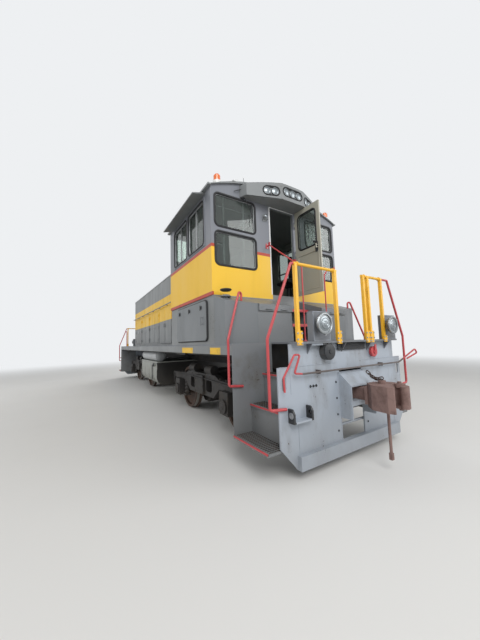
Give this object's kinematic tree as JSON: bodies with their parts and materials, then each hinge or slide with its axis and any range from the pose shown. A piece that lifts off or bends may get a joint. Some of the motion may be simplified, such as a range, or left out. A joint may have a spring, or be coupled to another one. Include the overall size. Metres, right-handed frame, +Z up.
{
  "type": "diesel switching locomotive",
  "caption": "End-cab diesel switcher on trucks, with hood, end platforms and steps, opening doors and lids, couplers that swing.",
  "frame": {"origin": "middle of the whole vehicle in plan, at the height of the wheel flange bottoms", "axes": "+X along the vehicle toward the cab end, +Y to its left, +Z up"},
  "size_m": [13.9792, 3.48, 4.6399],
  "materials": {
    "body_grey": "semi-gloss enamel",
    "body_yellow": "semi-gloss enamel",
    "rail_red": "gloss enamel",
    "frame_yellow": "gloss enamel",
    "truck_black": "flat enamel with road dirt",
    "wheel_steel": "rusty rolled steel",
    "coupler_rust": "rust",
    "cab_glass": "clear",
    "cab_inside": "matte",
    "seat_cover": "matte",
    "engine_paint": "oily paint",
    "lamp_chrome": "polished",
    "beacon_amber": "clear amber"
  },
  "bodies": {
    "locomotive": {"deck": "body_grey", "side_sills": "body_grey", "cross_members": "body_grey", "centre_sill": "body_grey", "end_plate_cab": "body_grey", "end_plate_nose": "body_grey", "steps_cab": "body_grey", "steps_nose": "body_grey", "battery_boxes": "body_grey", "cab_base": "body_grey", "cab_walls": "body_yellow", "cab_roof": "body_grey", "lamp_housing": "body_grey", "window_awnings": "body_grey", "cab_glass": "cab_glass", "control_stand": "cab_inside", "cab_seats": "seat_cover", "hood_body": "body_yellow", "exhaust_stacks": "body_grey", "engine_block": "engine_paint", "radiator": "engine_paint", "end_frames": "frame_yellow", "stair_rails": "rail_red", "hood_rails": "body_grey", "fuel_tank": "body_grey", "air_reservoirs": "body_grey", "uncoupling_levers": "rail_red", "end_lamps": "lamp_chrome", "cab_roof_fittings": "body_grey", "sill_webs": "body_grey", "beacons": "beacon_amber"},
    "truck_cab": {"truck_frame_cab": "truck_black", "traction_motors_cab": "truck_black"},
    "wheelset_cab_outer": {"wheelset_cab_outer": "wheel_steel"},
    "wheelset_cab_inner": {"wheelset_cab_inner": "wheel_steel"},
    "truck_nose": {"truck_frame_nose": "truck_black", "traction_motors_nose": "truck_black"},
    "wheelset_nose_outer": {"wheelset_nose_outer": "wheel_steel"},
    "wheelset_nose_inner": {"wheelset_nose_inner": "wheel_steel"},
    "battery_lid_right": {"battery_lid_right": "body_grey"},
    "battery_lid_left": {"battery_lid_left": "body_grey"},
    "access_door_right": {"access_door_right": "body_grey"},
    "access_door_left": {"access_door_left": "body_grey"},
    "cab_end_door": {"cab_end_door": "body_grey"},
    "cab_walkway_door": {"cab_walkway_door": "body_grey"},
    "hood_door_right_rear": {"hood_door_right_rear": "body_yellow"},
    "hood_door_right_front": {"hood_door_right_front": "body_yellow"},
    "hood_door_left_rear": {"hood_door_left_rear": "body_yellow"},
    "hood_door_left_front": {"hood_door_left_front": "body_yellow"},
    "coupler_cab": {"coupler_cab": "coupler_rust"},
    "coupler_nose": {"coupler_nose": "coupler_rust"}
  },
  "joints": [
    {"name": "truck_swivel_cab", "type": "hinge", "parent": "locomotive", "child": "truck_cab", "pos_m": [3.353, 0, 1], "axis": [0, 0, 1], "range_deg": [-7, 7]},
    {"name": "axle_cab_outer", "type": "hinge", "parent": "truck_cab", "child": "wheelset_cab_outer", "pos_m": [4.572, 0, 0.536], "axis": [0, 1, 0], "continuous": true},
    {"name": "axle_cab_inner", "type": "hinge", "parent": "truck_cab", "child": "wheelset_cab_inner", "pos_m": [2.134, 0, 0.536], "axis": [0, 1, 0], "continuous": true},
    {"name": "truck_swivel_nose", "type": "hinge", "parent": "locomotive", "child": "truck_nose", "pos_m": [-3.353, 0, 1], "axis": [0, 0, 1], "range_deg": [-7, 7]},
    {"name": "axle_nose_outer", "type": "hinge", "parent": "truck_nose", "child": "wheelset_nose_outer", "pos_m": [-4.572, 0, 0.536], "axis": [0, 1, 0], "continuous": true},
    {"name": "axle_nose_inner", "type": "hinge", "parent": "truck_nose", "child": "wheelset_nose_inner", "pos_m": [-2.134, 0, 0.536], "axis": [0, 1, 0], "continuous": true},
    {"name": "coupler_swing_cab", "type": "hinge", "parent": "locomotive", "child": "coupler_cab", "pos_m": [6.06, 0, 0.904], "axis": [0, 0, 1], "range_deg": [-7, 7]},
    {"name": "coupler_swing_nose", "type": "hinge", "parent": "locomotive", "child": "coupler_nose", "pos_m": [-6.06, 0, 0.904], "axis": [0, 0, 1], "range_deg": [-7, 7]},
    {"name": "end_door_hinge", "type": "hinge", "parent": "locomotive", "child": "cab_end_door", "pos_m": [5.025, 0.32, 3.3], "axis": [0, 0, 1], "range_deg": [-90, 0]},
    {"name": "walkway_door_hinge", "type": "hinge", "parent": "locomotive", "child": "cab_walkway_door", "pos_m": [2.835, 1.445, 3.3], "axis": [0, 0, -1], "range_deg": [0, 100]},
    {"name": "battery_lid_right_hinge", "type": "hinge", "parent": "locomotive", "child": "battery_lid_right", "pos_m": [5.03, -0.68, 2.376], "axis": [0, -1, 0], "range_deg": [0, 75]},
    {"name": "access_door_right_hinge", "type": "hinge", "parent": "locomotive", "child": "access_door_right", "pos_m": [3.31, -1.51, 2], "axis": [0, 0, -1], "range_deg": [0, 110]},
    {"name": "hood_door_right_rear_hinge", "type": "hinge", "parent": "locomotive", "child": "hood_door_right_rear", "pos_m": [-0.34, -0.93, 2.245], "axis": [0, 0, -1], "range_deg": [0, 90]},
    {"name": "hood_door_right_front_hinge", "type": "hinge", "parent": "locomotive", "child": "hood_door_right_front", "pos_m": [1.04, -0.93, 2.245], "axis": [0, 0, 1], "range_deg": [0, 90]},
    {"name": "battery_lid_left_hinge", "type": "hinge", "parent": "locomotive", "child": "battery_lid_left", "pos_m": [5.03, 0.68, 2.376], "axis": [0, -1, 0], "range_deg": [0, 75]},
    {"name": "access_door_left_hinge", "type": "hinge", "parent": "locomotive", "child": "access_door_left", "pos_m": [3.31, 1.51, 2], "axis": [0, 0, 1], "range_deg": [0, 110]},
    {"name": "hood_door_left_rear_hinge", "type": "hinge", "parent": "locomotive", "child": "hood_door_left_rear", "pos_m": [-0.34, 0.93, 2.245], "axis": [0, 0, 1], "range_deg": [0, 90]},
    {"name": "hood_door_left_front_hinge", "type": "hinge", "parent": "locomotive", "child": "hood_door_left_front", "pos_m": [1.04, 0.93, 2.245], "axis": [0, 0, -1], "range_deg": [0, 90]}
  ]
}
